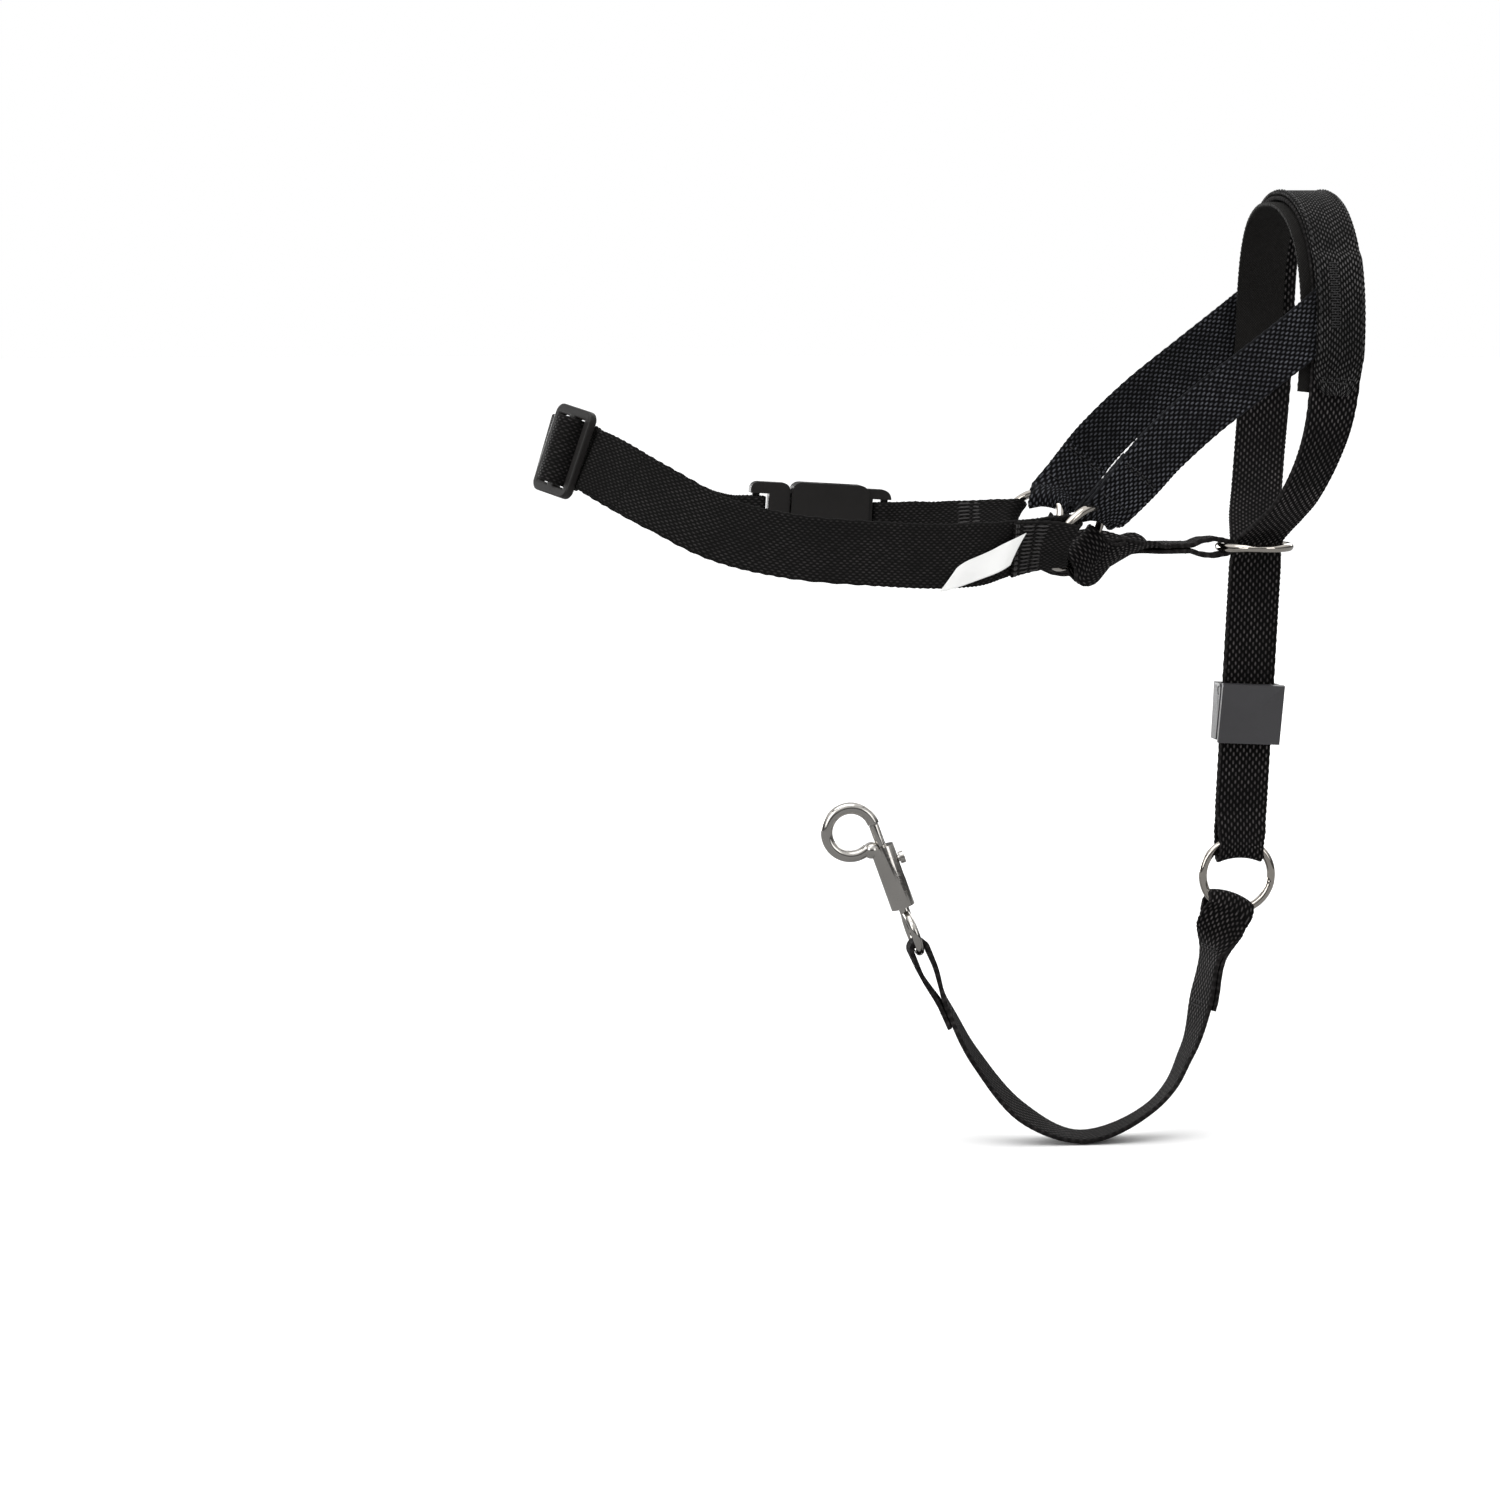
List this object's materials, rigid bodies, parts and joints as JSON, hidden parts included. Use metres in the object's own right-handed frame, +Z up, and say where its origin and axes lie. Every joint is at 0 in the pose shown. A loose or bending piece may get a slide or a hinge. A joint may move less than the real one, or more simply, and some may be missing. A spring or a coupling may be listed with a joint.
{
  "type": "head halter",
  "caption": "Dog head halter: webbing muzzle loop with cheek, chin and neck straps on O-rings, a lead ring with a clamp, and a safety strap with a snap hook.",
  "frame": {"origin": "centre of the lead ring that hangs under the chin", "axes": "+X the way the dog faces, +Y the dog's left, +Z up, as worn"},
  "size_m": [0.2456, 0.1203, 0.2918],
  "materials": {
    "webbing_nose": "woven nylon webbing, black, slight sheen",
    "webbing_neck": "woven nylon webbing, black, 19 mm",
    "thread": "bonded nylon thread, black",
    "label": "satin ribbon, white, blank",
    "plastic_black": "moulded acetal, black",
    "plastic_grey": "moulded nylon, dark grey",
    "nickel": "nickel-plated steel wire",
    "snap_metal": "nickel-plated zinc alloy",
    "spring_steel": "spring steel"
  },
  "bodies": {
    "muzzle_band": {"nose_strap": "webbing_nose", "nose_overlay": "webbing_nose", "nose_lining": "webbing_nose", "overlay_bartacks": "thread", "cheek_strap_right": "webbing_nose", "cheek_strap_left": "webbing_nose", "cheek_stitching": "thread"},
    "right_cheek_ring": {"cheek_ring_right": "nickel"},
    "left_cheek_ring": {"cheek_ring_left": "nickel"},
    "chin_slider": {"chin_strap": "webbing_nose", "chin_stitching": "thread"},
    "chin_o_ring": {"chin_ring": "nickel"},
    "clamp": {"clamp_base": "plastic_grey"},
    "lever": {"clamp_lever": "plastic_grey"},
    "lead_o_ring": {"lead_ring": "nickel"},
    "safety_link": {"safety_strap": "webbing_nose", "safety_stitching": "thread"},
    "snap_eye": {"snap_swivel": "snap_metal"},
    "snap_body": {"snap_hook": "snap_metal"},
    "snap_bolt": {"snap_plunger": "snap_metal", "snap_spring": "spring_steel"},
    "neck_band": {"neck_strap_right": "webbing_neck", "neck_strap_left": "webbing_neck", "neck_stitching": "thread", "neck_label": "label", "buckle_socket": "plastic_black"},
    "neck_glide": {"tri_glide": "plastic_black"},
    "buckle_insert": {"buckle_plug": "plastic_black"},
    "latch_upper": {"buckle_arm_upper": "plastic_black"},
    "latch_lower": {"buckle_arm_lower": "plastic_black"}
  },
  "joints": [
    {"name": "right_ring_turn", "type": "hinge", "parent": "muzzle_band", "child": "right_cheek_ring", "pos_m": [-0.0585, -0.036, 0.1072], "axis": [0.6275, -0.5736, -0.5265], "continuous": true},
    {"name": "left_ring_turn", "type": "hinge", "parent": "muzzle_band", "child": "left_cheek_ring", "pos_m": [-0.0585, 0.036, 0.1072], "axis": [0.6275, 0.5736, -0.5265], "continuous": true},
    {"name": "neck_band_swing", "type": "hinge", "parent": "muzzle_band", "child": "neck_band", "pos_m": [-0.0585, 0, 0.1072], "axis": [0, 1, 0], "range_deg": [-20, 25], "stiffness_Nm_per_rad": 0.06, "springref_deg": 8.46, "deforming": ["neck_strap_right", "neck_strap_left"]},
    {"name": "chin_ring_slide", "type": "slide", "parent": "muzzle_band", "child": "chin_slider", "axis": [0.0488, 0, 0.9988], "range_m": [-0.03, 0.001], "deforming": ["chin_strap"]},
    {"name": "chin_ring_turn", "type": "hinge", "parent": "chin_slider", "child": "chin_o_ring", "pos_m": [0.0044, 0, 0.1015], "axis": [0, 0, 1], "continuous": true},
    {"name": "clamp_slide", "type": "slide", "parent": "muzzle_band", "child": "clamp", "axis": [0.0488, 0, 0.9988], "range_m": [-0.016, 0.03]},
    {"name": "clamp_lever_open", "type": "hinge", "parent": "clamp", "child": "lever", "pos_m": [0.0028, -0.0034, 0.05709], "axis": [0.9988, 0, -0.0488], "range_deg": [-68, 0]},
    {"name": "lead_ring_swing", "type": "hinge", "parent": "muzzle_band", "child": "lead_o_ring", "pos_m": [0, 0, 0.01075], "axis": [1, 0, 0], "range_deg": [-35, 35]},
    {"name": "safety_link_swing", "type": "hinge", "parent": "lead_o_ring", "child": "safety_link", "pos_m": [-0.00296, 0, -0.01033], "axis": [0.9613, 0, -0.2756], "range_deg": [-32, 32]},
    {"name": "snap_eye_swing", "type": "hinge", "parent": "safety_link", "child": "snap_eye", "pos_m": [-0.09938, 0, -0.02183], "axis": [0, 1, 0], "range_deg": [-18, 18], "stiffness_Nm_per_rad": 0.02, "springref_deg": 3.75},
    {"name": "snap_swivel_turn", "type": "hinge", "parent": "snap_eye", "child": "snap_body", "pos_m": [-0.1015, 0, -0.016], "axis": [-0.342, 0, 0.9397], "continuous": true},
    {"name": "snap_bolt_slide", "type": "slide", "parent": "snap_body", "child": "snap_bolt", "axis": [0.342, 0, -0.9397], "range_m": [0, 0.0045], "stiffness_N_per_m": 400, "springref_m": -0.002, "deforming": ["snap_spring"]},
    {"name": "glide_adjust", "type": "slide", "parent": "neck_band", "child": "neck_glide", "axis": [-0.4435, 0.8847, 0.1437], "range_m": [-0.008, 0.008]},
    {"name": "buckle_release", "type": "slide", "parent": "neck_band", "child": "buckle_insert", "axis": [-0.9981, 0, 0.061], "range_m": [0, 0.024], "deforming": ["buckle_arm_upper", "buckle_arm_lower"]},
    {"name": "latch_upper_squeeze", "type": "hinge", "parent": "buckle_insert", "child": "latch_upper", "pos_m": [-0.1314, 0.0575, 0.11311], "axis": [0, 1, 0], "range_deg": [0, 13], "stiffness_Nm_per_rad": 0.05},
    {"name": "latch_lower_squeeze", "type": "hinge", "parent": "buckle_insert", "child": "latch_lower", "pos_m": [-0.1324, 0.0575, 0.09674], "axis": [0, 1, 0], "range_deg": [-13, 0], "stiffness_Nm_per_rad": 0.05}
  ],
  "couplings": [
    {"joint": "latch_lower_squeeze", "follows": "latch_upper_squeeze", "ratio": -1}
  ]
}
